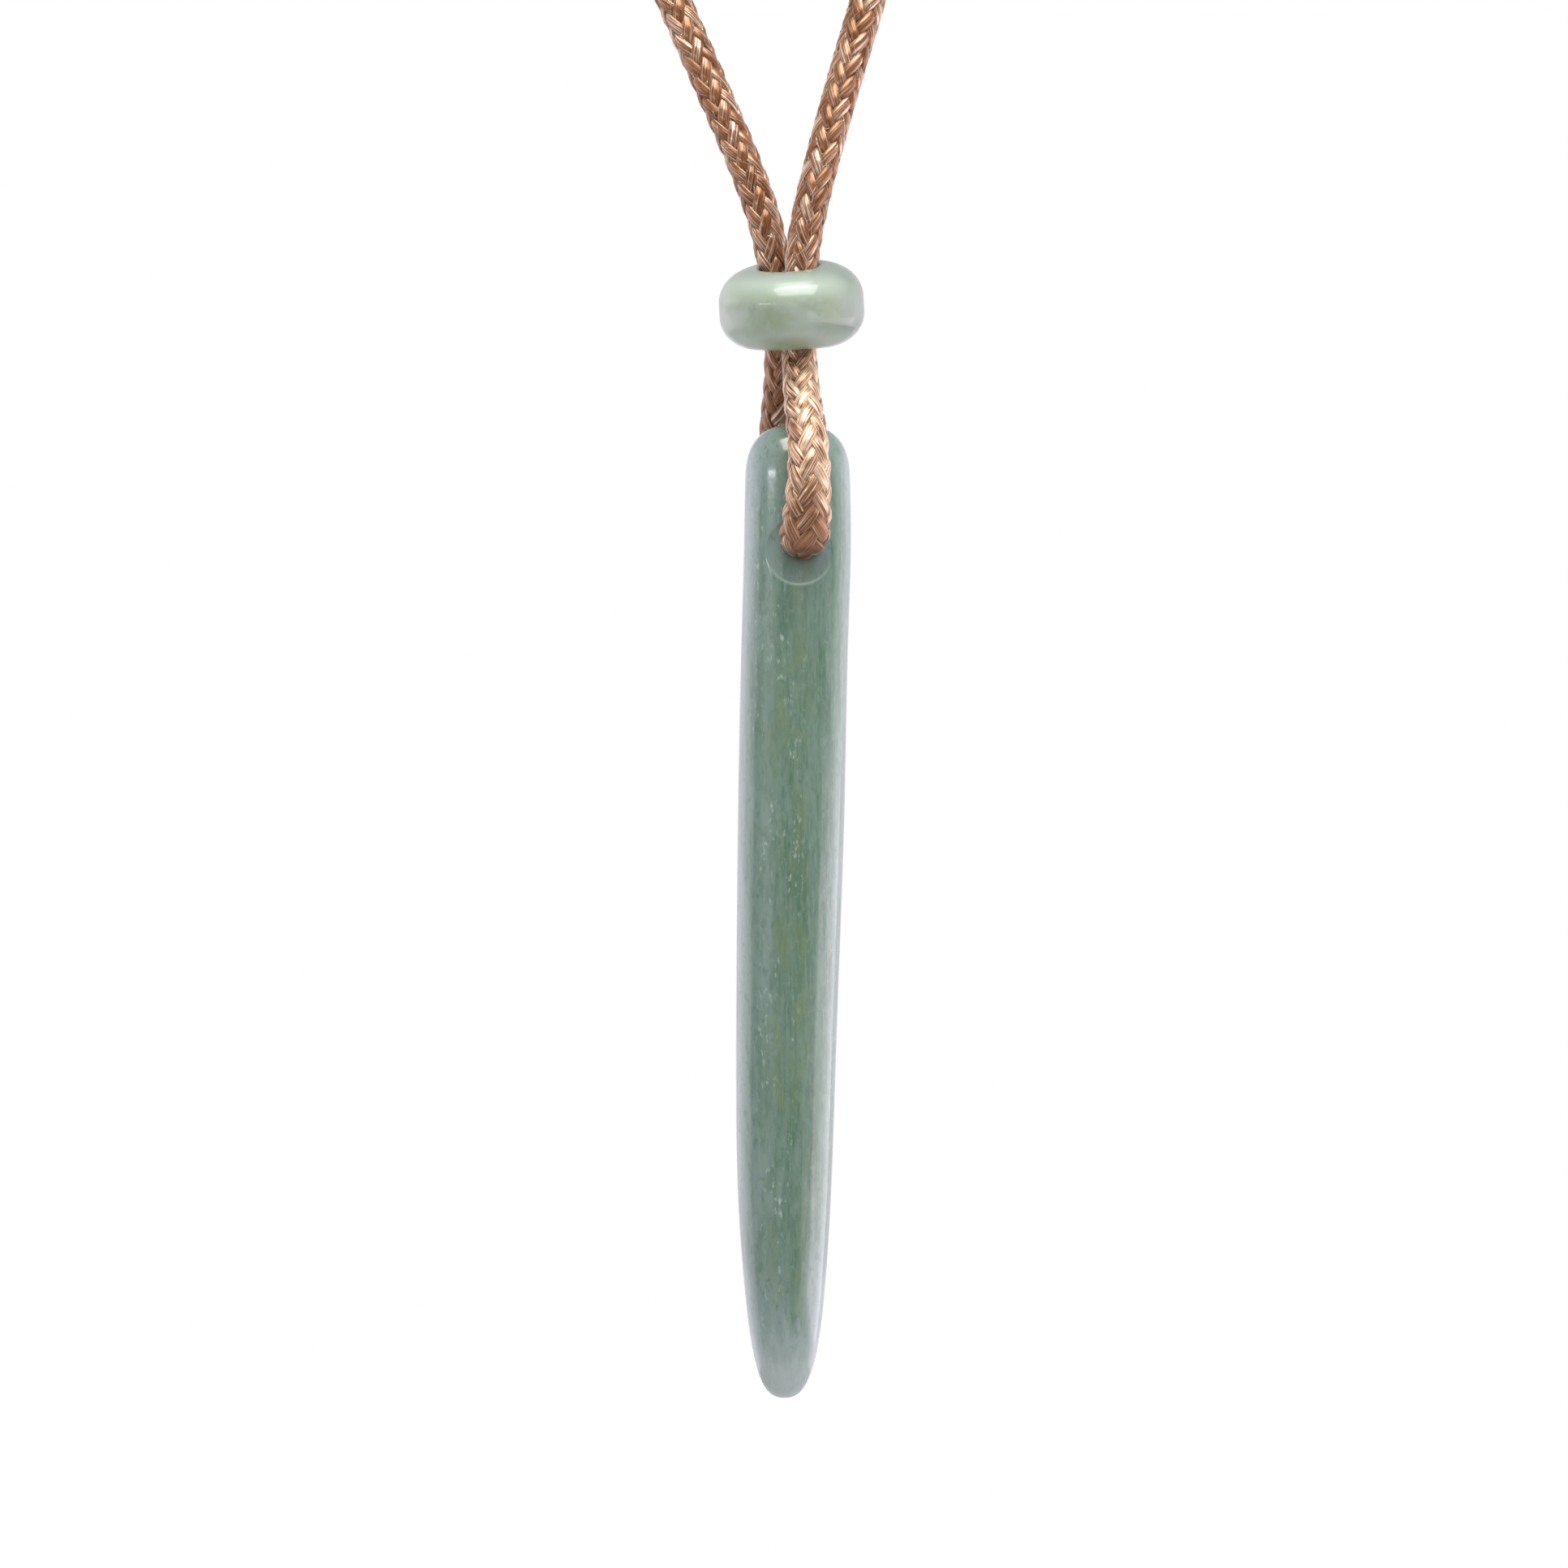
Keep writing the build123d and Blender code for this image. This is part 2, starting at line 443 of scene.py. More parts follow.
def stitches(line, first, last, grid, seed):
    # A braid's outside: columns of long lens-shaped stitches round the line. A stitch leans left or right
    # by its column, and its tips dip under the neighbouring columns. With u from tip to tip and v round it,
    # it is as wide as half its width times (1 - |u|^3)^0.7 times the cosine of v to the power 0.8, as high
    # as half its height times (1 - u^4)^0.5 times the sine of v to the power 0.75, each with its sign
    # kept, and lies deeper by dip * u^2.
    sizes = cordSizes
    rings, sides = grid
    reach = sizes["stitchReach"]
    rng = np.random.default_rng(seed)
    outer = sizes["diameter"] / 2
    middleRadius = outer - sizes["stitchHeight"] / 2
    columnWidth = 2 * math.pi * (outer - sizes["columnsUnder"]) / sizes["columns"]
    lean = math.atan2(columnWidth, sizes["pitch"])
    count = int((last - first) / sizes["pitch"])
    row, column = np.meshgrid(np.arange(count), np.arange(sizes["columns"]), indexing="ij")
    row, column = row.ravel(), column.ravel()
    # every other column leans the other way and starts half a stitch on
    hand = np.where(column % 2, -1.0, 1.0)[:, None, None]
    middle = (first + (row + 0.5 + 0.5 * (column % 2)) * sizes["pitch"])[:, None, None]
    u = signedPower(np.linspace(-1, 1, rings + 2), 0.85)  # its rings stand closer at the tips
    v = np.arange(sides) * 2 * math.pi / sides + math.pi / 2
    inner = u[1:-1][None, :, None]
    cosine, sine = np.cos(v[None, None, :]), np.sin(v[None, None, :])
    scale = 1 + rng.uniform(-sizes["stitchUneven"], sizes["stitchUneven"], (len(row), 1, 1))
    halfWidth = sizes["stitchWidth"] / 2 * scale * (1 - np.abs(inner) ** 3) ** 0.7
    halfHeight = sizes["stitchHeight"] / 2 * (1 - inner**4) ** 0.5
    sideways = halfWidth * signedPower(cosine, 0.8)
    upward = halfHeight * signedPower(sine, 0.75)
    wobble = rng.uniform(-sizes["stitchWobble"], sizes["stitchWobble"], (len(row), 2, 1, 1))
    forward = reach * inner + 0 * sideways
    turn = column[:, None, None] + hand * forward + (sideways * math.cos(lean) + wobble[:, 0]) / columnWidth
    along = middle + forward * sizes["pitch"] - hand * sideways * math.sin(lean) + wobble[:, 1]
    radius = middleRadius - sizes["stitchDip"] * inner**2 + upward
    body = fromLine(line, along, turn * 2 * math.pi / sizes["columns"], radius)
    tips = np.array([[-1.0, 1.0]])
    tipTurn = column[:, None] + hand[:, :, 0] * reach * tips
    tipAlong = middle[:, :, 0] + reach * tips * sizes["pitch"]
    tipRadius = middleRadius - sizes["stitchDip"] + 0 * tipAlong
    ends = fromLine(line, tipAlong, tipTurn * 2 * math.pi / sizes["columns"], tipRadius)
    points = np.concatenate([body.reshape(len(row), -1, 3), ends], 1)
    each = points.shape[1]
    quads = gridQuads(rings, sides, closeColumns=True)
    shift = (np.arange(len(row)) * each)[:, None, None]
    # uv: x across and y along the stitch, in millimetres, moved by a random amount for each stitch
    acrossUv = np.linspace(0, 2 * sizes["stitchWidth"], sides + 1)
    alongUv = u * reach * math.hypot(columnWidth, sizes["pitch"])
    quadUv = gridUv(acrossUv, alongUv[1:-1]).reshape(-1, 4, 2)
    before, after = acrossUv[:-1], acrossUv[1:]

    def capUv(tip, ring, first, second):
        # a fan's triangles have a corner at the stitch's tip and two on its nearest ring
        corners = [((before + after) / 2, tip), (first, ring), (second, ring)]
        return np.stack([np.stack([x, y + 0 * x], -1) for x, y in corners], 1)

    capsUv = np.concatenate(
        [capUv(alongUv[0], alongUv[1], after, before), capUv(alongUv[-1], alongUv[-2], before, after)]
    )
    move = rng.uniform(0, 40, (len(row), 1, 1, 2))
    shade = np.repeat(rng.uniform(0, 1, len(row)), each)
    tip = np.concatenate([np.repeat(np.abs(u[1:-1]), sides), [1.0, 1.0]])
    return {
        "points": points.reshape(-1, 3),
        "quads": (quads + shift).reshape(-1, 4),
        "triangles": (gridCaps(rings, sides) + shift).reshape(-1, 3),
        "quadUv": (quadUv + move).reshape(-1, 4, 2),
        "triangleUv": (capsUv + move).reshape(-1, 3, 2),
        "shade": shade,
        "tip": np.tile(tip, len(row)),
    }


def tube(line, first, last, radius, step, sides):
    # a plain tube with closed ends: a ring of points at each length along the line
    along = np.linspace(first, last, max(2, int((last - first) / step) + 1))
    angle = np.arange(sides) * 2 * math.pi / sides
    grid = fromLine(line, along[:, None] + 0 * angle, angle + 0 * along[:, None], radius + 0 * angle)
    ends = readAt(line["along"], line["place"], np.array([first, last]))
    points = np.concatenate([grid.reshape(-1, 3), ends])
    quads = gridQuads(len(along), sides, closeColumns=True)
    triangles = gridCaps(len(along), sides)
    return {
        "points": points,
        "quads": quads,
        "triangles": triangles,
        "quadUv": np.zeros((*quads.shape, 2)),
        "triangleUv": np.zeros((*triangles.shape, 2)),
        # the tube counts as all tip, so it is painted dark: painted shade in the gaps between the stitches
        "shade": np.full(len(points), cordSizes["coreShade"]),
        "tip": np.ones(len(points)),
    }


def fabricMesh(name, parts):
    # the parts as one mesh, with each point's shade and how near it is to a stitch's tip
    shifts = np.cumsum([0] + [len(part["points"]) for part in parts[:-1]])
    joined = {key: np.concatenate([part[key] for part in parts]) for key in parts[0]}
    for key in ("quads", "triangles"):
        joined[key] = np.concatenate([part[key] + shift for part, shift in zip(parts, shifts)])
    rows = [joined[key] for key in ("quads", "triangles", "quadUv", "triangleUv")]
    mesh = meshFrom(name, joined["points"], *turnedOut(joined["points"], *rows))
    for key in ("shade", "tip"):
        layer = mesh.attributes.new(key, "FLOAT", "POINT")
        layer.data.foreach_set("value", joined[key].astype(np.float32))
    return mesh


def cordSideways(place):
    nape = easeBetween(*cordSizes["sidewaysTurn"], place[:, 1])[:, None]
    return nape * np.array([0, 0, 1.0]) + (1 - nape) * np.array([1.0, 0, 0])


def makeCordLine():
    line = lineFrom(splinePoints(cordPoints), cordSideways)
    inHole = np.argmin(np.linalg.norm(line["place"] - np.array(holeCentre), axis=1))
    line["hole"] = line["along"][inHole]
    along, *columns = np.array(cordShape).T
    for name, values in zip(("wide", "deep", "turn"), columns):
        line[name] = smoothThrough(along, values, line["along"] - line["hole"])
    line["turn"] = np.radians(line["turn"])
    return line


cordLine = makeCordLine()
cordLong = float(cordLine["along"][-1])
print(f"cord line {cordLong:.1f} mm, hole at {cordLine['hole']:.1f} mm")


def makeCord():
    # three runs of stitches meet on whole stitches, and a hair more of length leaves room for the last
    sizes = cordSizes
    hair = 0.01
    before, after = sizes["intoKnot"]
    fineFirst = cordLine["hole"] - sizes["fineBefore"]
    fineLast = fineFirst + sizes["fineStitches"] * sizes["pitch"]
    plainFirst = fineFirst - int((fineFirst + before) / sizes["pitch"]) * sizes["pitch"]
    parts = [
        stitches(cordLine, plainFirst, fineFirst + hair, sizes["plain"], seed=11),
        stitches(cordLine, fineFirst, fineLast + hair, sizes["fine"], seed=12),
        stitches(cordLine, fineLast, cordLong + after, sizes["plain"], seed=13),
        tube(cordLine, 0.0, cordLong, sizes["diameter"] / 2 - sizes["coreUnder"], step=1.2, sides=8),
    ]
    piece = addPiece(fabricMesh("braided_neck_cord", parts), "necklace", ["neck_cord"])
    print(f"braid made, {len(piece.data.polygons)} faces")
    return piece


cord = makeCord()

# Stray fibres, which stand out of the braid all along the cord

fibreSizes = {
    "perMillimetre": 1.1,
    "nearPerMillimetre": 10.0,  # in the drop and the legs by the bead
    "nearReach": 46.0,
    "endGap": 3.0,  # none starts this near to the cord's ends
    "holeGap": 4.0,  # or to the spike's hole
    "rootUnder": 0.1,  # how far under the braid's outside a fibre starts
    "length": (0.35, 1.3),
    "radius": 0.013,
    "taper": 0.75,  # share of its thickness that is gone at its tip
    "lift": 0.3,  # of the fibre that stands out most, as a share of its length
    "spin": 0.8,  # radians round the cord, either way
    "curl": 0.25,
    "rings": 6,
    "shade": (2.2, 3.2),  # paler than any stitch: painted light, for fine fibres lit from behind
}


def makeFibres():
    # A fibre starts just under the braid's surface and bends away from it, along the cord one way or the
    # other. At share t of its length its height over the start is lift * length * t^1.6, and it has gone
    # round the cord by spin * t + curl * sin(4 * t).
    sizes = fibreSizes
    rng = np.random.default_rng(21)
    low, high = cordLine["hole"] - sizes["nearReach"], cordLine["hole"] + sizes["nearReach"]
    everywhere = int(cordLong * sizes["perMillimetre"])
    start = np.concatenate(
        [
            rng.uniform(sizes["endGap"], cordLong - sizes["endGap"], everywhere),
            rng.uniform(low, high, int((high - low) * sizes["nearPerMillimetre"])),
        ]
    )
    start = start[np.abs(start - cordLine["hole"]) > sizes["holeGap"]][:, None]
    number = len(start)
    length = rng.uniform(*sizes["length"], start.shape)
    way = rng.choice([-1.0, 1.0], start.shape)
    startTurn = rng.uniform(0, 2 * math.pi, start.shape)
    spin = rng.uniform(-sizes["spin"], sizes["spin"], start.shape)
    lift = sizes["lift"] * rng.uniform(0.15, 1.0, start.shape) ** 1.5
    curl = rng.uniform(-sizes["curl"], sizes["curl"], start.shape)
    t = np.linspace(0, 1, sizes["rings"])[None, :]
    along = start + way * length * t
    turn = startTurn + spin * t + curl * np.sin(4 * t)
    radius = cordSizes["diameter"] / 2 - sizes["rootUnder"] + lift * length * t**1.6
    middle = fromLine(cordLine, along, turn, radius)
    ahead = unit(np.gradient(middle, axis=1))
    side = unit(np.cross(ahead, np.array([0.31, 0.77, 0.55])))  # an odd direction, that no fibre has
    up = np.cross(side, ahead)
    # three-sided, so that one face closes each end
    angle = np.arange(3) * 2 * math.pi / 3
    thick = sizes["radius"] * (1 - sizes["taper"] * t[..., None, None] ** 2)
    ring = side[:, :, None] * np.cos(angle)[:, None] + up[:, :, None] * np.sin(angle)[:, None]
    points = middle[:, :, None] + thick * ring
    each = sizes["rings"] * 3
    quads = gridQuads(sizes["rings"], 3, closeColumns=True)
    ends = np.array([[0, 2, 1], [each - 3, each - 2, each - 1]])
    shift = (np.arange(number) * each)[:, None, None]
    part = {
        "points": points.reshape(-1, 3),
        "quads": (quads + shift).reshape(-1, 4),
        "triangles": (ends + shift).reshape(-1, 3),
        "quadUv": np.zeros((number * len(quads), 4, 2)),
        "triangleUv": np.zeros((number * len(ends), 3, 2)),
        "shade": np.repeat(rng.uniform(*sizes["shade"], number), each),
        "tip": np.zeros(number * each),
    }
    piece = addPiece(fabricMesh("stray_fibres", [part]), "necklace")
    print(f"stray fibres made, {number}")
    return piece


fibres = makeFibres()

# Closing knot at the nape: turns of the same cord wound over its two ends

knotSizes = {
    "turns": 6,
    "radius": 2.12,  # of the turns' own line
    "pitch": 2.1,
    "endTurns": 0.55,  # that each end goes on for, spiralling in
    "endRadius": 0.9,
    "easing": 0.5,  # share of a turn in which the line reaches its radius
    "points": 1200,  # of the line
    "share": 0.9,  # of the cord's thickness, pulled tight
    "stitches": (5, 6),  # rings and sides of each
    "stitchGap": 0.6,  # between the line's ends and the first and last stitch
    "strandUnder": 0.4,  # how far the plain strand's surface is under its stitches
    "core": 1.12,  # radius of what fills the turns
    "coreReach": 6.5,  # to each side, into the ends of the cord
}


def makeKnot():
    # the winding goes round the X axis: (pitch * turns, radius * cos, radius * sin), and its two ends
    # spiral in until they are under the turns
    sizes = knotSizes
    last = sizes["turns"] - 1
    turns = np.linspace(-sizes["endTurns"], last + sizes["endTurns"], sizes["points"])
    easing = sizes["easing"]
    inside = easeBetween(0.0, easing, turns) * (1 - easeBetween(last - easing, last, turns))
    x = (np.clip(turns, 0, last) - last / 2) * sizes["pitch"]
    radius = sizes["endRadius"] + (sizes["radius"] - sizes["endRadius"]) * inside
    angle = 2 * math.pi * turns
    points = np.stack([x, radius * np.cos(angle), radius * np.sin(angle)], -1)
    line = lineFrom(points, lambda place: np.array([1.0, 0, 0]))
    line["wide"] *= sizes["share"]
    line["deep"] *= sizes["share"]
    long = float(line["along"][-1])
    reach, gap = sizes["coreReach"], sizes["stitchGap"]
    core = lineFrom(np.array([[-reach, 0, 0], [reach, 0, 0]]), lambda place: np.array([0, 0, 1.0]))
    strand = cordSizes["diameter"] / 2 - sizes["strandUnder"]
    parts = [
        stitches(line, gap, long - gap, sizes["stitches"], seed=31),
        tube(line, 0.0, long, strand, step=0.5, sides=8),
        tube(core, 0.0, 2 * reach, sizes["core"], step=1.0, sides=16),
    ]
    piece = addPiece(fabricMesh("closing_knot_turns", parts), "necklace", ["closing_knot"])
    print(f"closing knot made, {len(piece.data.polygons)} faces")
    return piece


knot = makeKnot()

# Ring bead

beadSizes = {
    "diameter": 8.9,
    "height": 5.1,
    "waist": 0.9,  # the straight band round the middle of its side
    "holeRadius": 1.9,
    "lip": 0.17,
    "aboveHole": 15.1,
    "leftOfHole": 0.5,
    "roll": 3.5,  # degrees, its right side up
    "pitch": 8.5,  # degrees, its top face towards the front
    "swells": ((0.035, 2, 0.7), (0.02, 3, 2.1)),  # of its outside: height, number round it, start angle
    "backTaller": (0.05, 0.3),  # share of its height that its back gains, and start angle
    "profile": (25, 6, 12),  # points along a quarter ellipse, a lip and the hole's wall
    "around": 144,
}


def makeBead():
    # a closed profile turned round the bead's axis: out along a quarter ellipse over the crest, down the
    # waist, back under another, and up the hole, with a small round at each lip
    sizes = beadSizes
    crest = sizes["holeRadius"] + sizes["lip"]
    halfWaist, half = sizes["waist"] / 2, sizes["height"] / 2
    quarter, lip = (np.linspace(0, math.pi / 2, count) for count in sizes["profile"][:2])
    over = np.stack(
        [
            crest + (sizes["diameter"] / 2 - crest) * np.sin(quarter),
            halfWaist + (half - halfWaist) * np.cos(quarter),
        ],
        -1,
    )
    above = np.stack([crest - sizes["lip"] * np.sin(lip), half - sizes["lip"] * (1 - np.cos(lip))], -1)[1:]
    wall = np.linspace(sizes["lip"] - half, half - sizes["lip"], sizes["profile"][2])[1:-1]
    wall = np.stack([sizes["holeRadius"] + 0 * wall, wall], -1)
    flipped = np.array([1, -1])
    profile = np.concatenate([over, over[::-1] * flipped, above * flipped, wall, above[::-1]])
    angle = np.linspace(0, 2 * math.pi, sizes["around"], endpoint=False)
    roll, pitch = (math.tan(math.radians(sizes[name])) for name in ("roll", "pitch"))
    axis = unit(np.array([-roll, -pitch, 1.0]))
    right = np.array([1.0, 0, roll])
    right = unit(right - (right @ axis) * axis)
    back = np.cross(axis, right)
    centre = np.array(holeCentre) + np.array([-sizes["leftOfHole"], 0, sizes["aboveHole"]])
    # cut and polished by hand: the outside swells and dips a little, and the ring is taller at the back
    outer = easeBetween(crest, sizes["diameter"] / 2, profile[:, 0])[:, None]
    uneven = sum(rise * np.sin(times * angle + start) for rise, times, start in sizes["swells"])
    taller, start = sizes["backTaller"]
    radius = profile[:, :1] + outer * uneven
    height = profile[:, 1:] * (1 + taller * np.sin(angle + start))
    points = (
        centre
        + (radius * np.cos(angle))[..., None] * right
        + (radius * np.sin(angle))[..., None] * back
        + height[..., None] * axis
    )
    quads = gridQuads(len(profile), len(angle), True, True)[:, ::-1]
    mesh = meshFrom("jade_ring_bead", points.reshape(-1, 3), quads)
    piece = addPiece(mesh, "necklace", ["ring_bead"])
    print(f"bead made, {len(quads)} faces")
    return piece


bead = makeBead()

# Jade spike

spikeSizes = {
    "width": 6.6,
    "thickness": 5.4,
    "drift": 0.92,  # how far the lower end lies to the left of the hole
    "squareness": 2.35,  # of a section: 2 is an ellipse, and more is fuller at the corners
    "linePoints": 4000,  # of the smooth line through the outline
    "around": 144,
    "topRings": (46, 12.0),  # number, and how far along the outline they reach
    "middleRings": 110,
    "tipRings": (44, 14.0),
    "crowding": 1.25,  # how much closer rings stand near the two poles, 1 is evenly
    "creases": 32.0,  # degrees between faces from which their edge is sharp
    "holeRadius": 0.86,
    "holeRight": 0.13,
    "holeUp": 0.4,
    "holeSides": 96,
    "dishRadius": 2.08,
    "dishDepth": 0.11,
    "holeRounding": 0.16,  # how much deeper the dish gets at the hole's edge
    "roundingReach": 0.3,  # share of the dish, from the hole, in which it does
    "dishRings": ((0.0, 0.3, 8), (0.4, 0.8, 5), (0.85, 1.2, 15)),  # from and to as shares, and number
    "wallRings": 6,  # of the hole's wall, between the two dishes
    "cutterReach": 4.0,  # of what cuts the hole, before and behind the middle
}

# height over the middle of the hole and half width, both in millimetres, and drift as a share
spikeOutline = [
    (7.92, 0.0, 0.12),
    (7.9, 0.33, 0.12),
    (7.78, 1.19, 0.12),
    (7.43, 1.98, 0.12),
    (6.79, 2.66, 0.12),
    (5.85, 3.08, 0.12),
    (4.35, 3.24, 0.12),
    (1.19, 3.3, 0.12),
    (-5.21, 3.3, 0.3),
    (-15.63, 3.293, 0.54),
    (-26.57, 3.158, 0.8),
    (-34.39, 3.03, 0.95),
    (-40.64, 2.825, 1.0),
    (-45.59, 2.458, 0.98),
    (-48.45, 2.112, 0.97),
    (-50.28, 1.716, 0.98),
    (-51.37, 1.27, 1.0),
    (-51.94, 0.726, 1.0),
    (-52.1, 0.297, 1.0),
    (-52.12, 0.0, 1.0),
]


def spikeProfile():
    # height, half width and drift, smooth through the outline's rows by the length along it
    rows = np.array(spikeOutline)
    steps = np.hypot(np.diff(rows[:, 0]), np.diff(rows[:, 1]))
    knots = np.concatenate([[0], np.cumsum(steps)])
    along = np.linspace(0, knots[-1], spikeSizes["linePoints"])
    height, half, drift = (smoothThrough(knots, rows[:, k], along) for k in range(3))
    return {"along": along, "height": height, "half": np.maximum(half, 0), "drift": drift}


spikeLine = spikeProfile()


def spikeSurface(sizes, at):
    # points of the spike's sections: x and y are the half sizes times the cosine and sine of the angle
    # round it, each to the power 2 / squareness, with its sign kept
    height, half, drift = (
        np.interp(at, spikeLine["along"], spikeLine[name])[:, None] for name in ("height", "half", "drift")
    )
    angle = np.arange(sizes["around"]) * 2 * math.pi / sizes["around"]
    cosine, sine = (signedPower(wave(angle), 2 / sizes["squareness"]) for wave in (np.cos, np.sin))
    x = -drift * sizes["drift"] + half * cosine
    y = half * sizes["thickness"] / sizes["width"] * sine
    return np.stack([x, y, height + 0 * x], -1)


def faceDepth(sizes, x, z):
    # how far before the middle plane the spike's face is, at a place given from the middle of the hole
    order = np.argsort(spikeLine["height"])
    height, half, drift = (spikeLine[name][order] for name in ("height", "half", "drift"))
    width = np.interp(z, height, half)
    middle = -np.interp(z, height, drift) * sizes["drift"]
    share = np.clip(np.abs(x - middle) / width, 0, 0.999)
    n = sizes["squareness"]
    return width * sizes["thickness"] / sizes["width"] * (1 - share**n) ** (1 / n)


def holeCutter(sizes):
    # a round bar along Y that widens to a dish at each face. In a dish, at share t of the way from the
    # hole's edge to the rim, the depth under the face is dishDepth * (1 - t^6), so its floor is nearly
    # flat and its rim is steeper, and near the hole holeRounding * (1 - t / roundingReach)^2 is added
    angle = np.linspace(0, 2 * math.pi, sizes["holeSides"], endpoint=False)
    near = sizes["roundingReach"]
    t = np.concatenate([np.linspace(*rings) for rings in sizes["dishRings"]])
    radius = sizes["holeRadius"] + (sizes["dishRadius"] - sizes["holeRadius"]) * t
    right, up = (sizes[name] * np.clip(1 - t, 0, 1) for name in ("holeRight", "holeUp"))
    depth = sizes["dishDepth"] * (1 - t**6) + sizes["holeRounding"] * np.clip(1 - t / near, 0, 1) ** 2
    x = radius[:, None] * np.cos(angle) + right[:, None]
    z = radius[:, None] * np.sin(angle) + up[:, None]
    dish = np.stack([x, -(faceDepth(sizes, x, z) - depth[:, None]), z], -1)
    share = np.linspace(0, 1, sizes["wallRings"] + 2)[1:-1, None]
    x, y, z = (dish[0][:, k] + 0 * share for k in range(3))
    wall = np.stack([x, y * (1 - 2 * share), z], -1)
    rows = np.concatenate([dish[::-1], wall, dish * np.array([1, -1, 1])])
    # straight on past both faces, to a closed end
    ends = np.array([[0, -sizes["cutterReach"], 0], [0, sizes["cutterReach"], 0]])
    outside = rows[[0, -1]] * np.array([1, 0, 1]) + ends[:, None]
    return barMesh("cutter", np.concatenate([outside[:1], rows, outside[1:]]), ends)


def makeSpike():
    # skinned from ring to ring with a pole at each end, then the hole and its dishes are cut out
    sizes = spikeSizes
    long = spikeLine["along"][-1]
    (topCount, topReach), (tipCount, tipReach) = sizes["topRings"], sizes["tipRings"]
    top = np.linspace(0, 1, topCount) ** sizes["crowding"] * topReach
    middle = np.linspace(topReach, long - tipReach, sizes["middleRings"])
    tip = long - np.linspace(1, 0, tipCount) ** sizes["crowding"] * tipReach
    rings = spikeSurface(sizes, np.concatenate([top[1:], middle[1:-1], tip[:-1]]))
    poles = np.array([[-row[2] * sizes["drift"], 0, row[0]] for row in (spikeOutline[0], spikeOutline[-1])])
    mesh = barMesh("jade_spike_body", rings, poles)
    piece = addPiece(mesh, "pendant", ["jade_spike"])
    cutter = newObject("cutter", holeCutter(sizes))
    cut = piece.modifiers.new("hole", "BOOLEAN")
    cut.operation = "DIFFERENCE"
    cut.solver = "EXACT"
    cut.object = cutter
    drilled = bpy.data.meshes.new_from_object(piece.evaluated_get(bpy.context.evaluated_depsgraph_get()))
    piece.modifiers.remove(cut)
    piece.data = drilled
    bpy.data.objects.remove(cutter)
    drilled.shade_smooth()
    drilled.set_sharp_from_angle(angle=math.radians(sizes["creases"]))
    print(f"spike made, {len(drilled.polygons)} faces")
    return piece


spike = makeSpike()

# Materials, with their colours as a picture has them, from 0 to 255

greenColours = {
    "body": (110, 138, 122),
    "deep": (88, 120, 98),
    "bright": (128, 152, 132),
    "olive": (124, 143, 98),
    "misty": (138, 158, 152),
    "pale": (184, 196, 191),
    # also the painted highlight along the dish's lower rim
    "fleck": (176, 192, 180),
}

# repeats per millimetre across the spike and along it, seed, detail, roughness, distortion and turn
greenPatterns = {
    "strands": (2.4, 0.22, 7.7, 5, 0.62, 0.3, 0.0),
    "threads": (7.5, 0.55, 1.3, 4, 0.6, 0.15, 0.0),
    "clouds": (0.5, 0.12, 3.1, 3, 0.5, 0.5, 0.0),
    "warm": (0.8, 0.26, 12.4, 5, 0.6, 0.5, 0.0),
    "patches": (0.9, 0.14, 5.2, 3, 0.55, 0.4, 0.0),
    "speck": (4.6, 1.7, 5.9, 3, 0.6, 0.0, 0.3),
    "mottle": (3.4, 1.5, 2.9, 4, 0.6, 0.6, 0.2),
}


